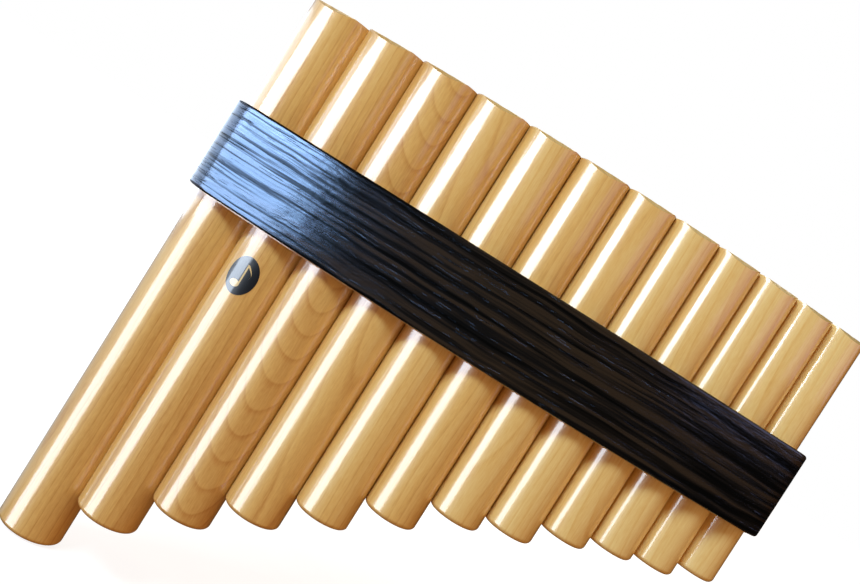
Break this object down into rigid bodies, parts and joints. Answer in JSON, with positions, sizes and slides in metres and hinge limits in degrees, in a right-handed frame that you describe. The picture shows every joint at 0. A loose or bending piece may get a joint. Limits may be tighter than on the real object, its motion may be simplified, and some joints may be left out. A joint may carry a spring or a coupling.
{
  "type": "pan flute",
  "caption": "Curved pan flute: a rank of tapering stopped wooden pipes, longest to shortest, held by a dark bent band, with sliding tuning corks.",
  "frame": {"origin": "centre of the longest pipe's lower rim, at the mouth of the stand peg socket", "axes": "+Z along the pipes with the mouths up, +X from the longest pipe to the shortest, -Y out of the convex banded front"},
  "size_m": [0.2211, 0.0455, 0.1998],
  "materials": {
    "maple": "clear gloss lacquer",
    "maple_lining": "satin",
    "wenge": "semi-gloss open pore",
    "cork": "natural",
    "beeswax": "waxy"
  },
  "bodies": {
    "flute": {"pipe_01_c5": "maple", "pipe_02_d5": "maple", "pipe_03_e5": "maple", "pipe_04_f5": "maple", "pipe_05_g5": "maple", "pipe_06_a5": "maple", "pipe_07_b5": "maple", "pipe_08_c6": "maple", "pipe_09_d6": "maple", "pipe_10_e6": "maple", "pipe_11_f6": "maple", "pipe_12_g6": "maple", "front_band": "wenge", "front_band_lining": "maple_lining", "rear_band": "wenge"},
    "stopper_c5": {"cork_01_c5": "cork", "wax_01_c5": "beeswax"},
    "stopper_d5": {"cork_02_d5": "cork", "wax_02_d5": "beeswax"},
    "stopper_e5": {"cork_03_e5": "cork", "wax_03_e5": "beeswax"},
    "stopper_f5": {"cork_04_f5": "cork", "wax_04_f5": "beeswax"},
    "stopper_g5": {"cork_05_g5": "cork", "wax_05_g5": "beeswax"},
    "stopper_a5": {"cork_06_a5": "cork", "wax_06_a5": "beeswax"},
    "stopper_b5": {"cork_07_b5": "cork", "wax_07_b5": "beeswax"},
    "stopper_c6": {"cork_08_c6": "cork", "wax_08_c6": "beeswax"},
    "stopper_d6": {"cork_09_d6": "cork", "wax_09_d6": "beeswax"},
    "stopper_e6": {"cork_10_e6": "cork", "wax_10_e6": "beeswax"},
    "stopper_f6": {"cork_11_f6": "cork", "wax_11_f6": "beeswax"},
    "stopper_g6": {"cork_12_g6": "cork", "wax_12_g6": "beeswax"}
  },
  "joints": [
    {"name": "tune_c5", "type": "slide", "parent": "flute", "child": "stopper_c5", "axis": [0, 0, 1], "range_m": [-0.0094, 0.0094]},
    {"name": "tune_d5", "type": "slide", "parent": "flute", "child": "stopper_d5", "axis": [0, 0, 1], "range_m": [-0.0084, 0.0084]},
    {"name": "tune_e5", "type": "slide", "parent": "flute", "child": "stopper_e5", "axis": [0, 0, 1], "range_m": [-0.0074, 0.0074]},
    {"name": "tune_f5", "type": "slide", "parent": "flute", "child": "stopper_f5", "axis": [0, 0, 1], "range_m": [-0.007, 0.007]},
    {"name": "tune_g5", "type": "slide", "parent": "flute", "child": "stopper_g5", "axis": [0, 0, 1], "range_m": [-0.0062, 0.0062]},
    {"name": "tune_a5", "type": "slide", "parent": "flute", "child": "stopper_a5", "axis": [0, 0, 1], "range_m": [-0.0056, 0.0056]},
    {"name": "tune_b5", "type": "slide", "parent": "flute", "child": "stopper_b5", "axis": [0, 0, 1], "range_m": [-0.0049, 0.0049]},
    {"name": "tune_c6", "type": "slide", "parent": "flute", "child": "stopper_c6", "axis": [0, 0, 1], "range_m": [-0.0047, 0.0047]},
    {"name": "tune_d6", "type": "slide", "parent": "flute", "child": "stopper_d6", "axis": [0, 0, 1], "range_m": [-0.0041, 0.0041]},
    {"name": "tune_e6", "type": "slide", "parent": "flute", "child": "stopper_e6", "axis": [0, 0, 1], "range_m": [-0.0037, 0.0037]},
    {"name": "tune_f6", "type": "slide", "parent": "flute", "child": "stopper_f6", "axis": [0, 0, 1], "range_m": [-0.0035, 0.0035]},
    {"name": "tune_g6", "type": "slide", "parent": "flute", "child": "stopper_g6", "axis": [0, 0, 1], "range_m": [-0.0031, 0.0031]}
  ]
}
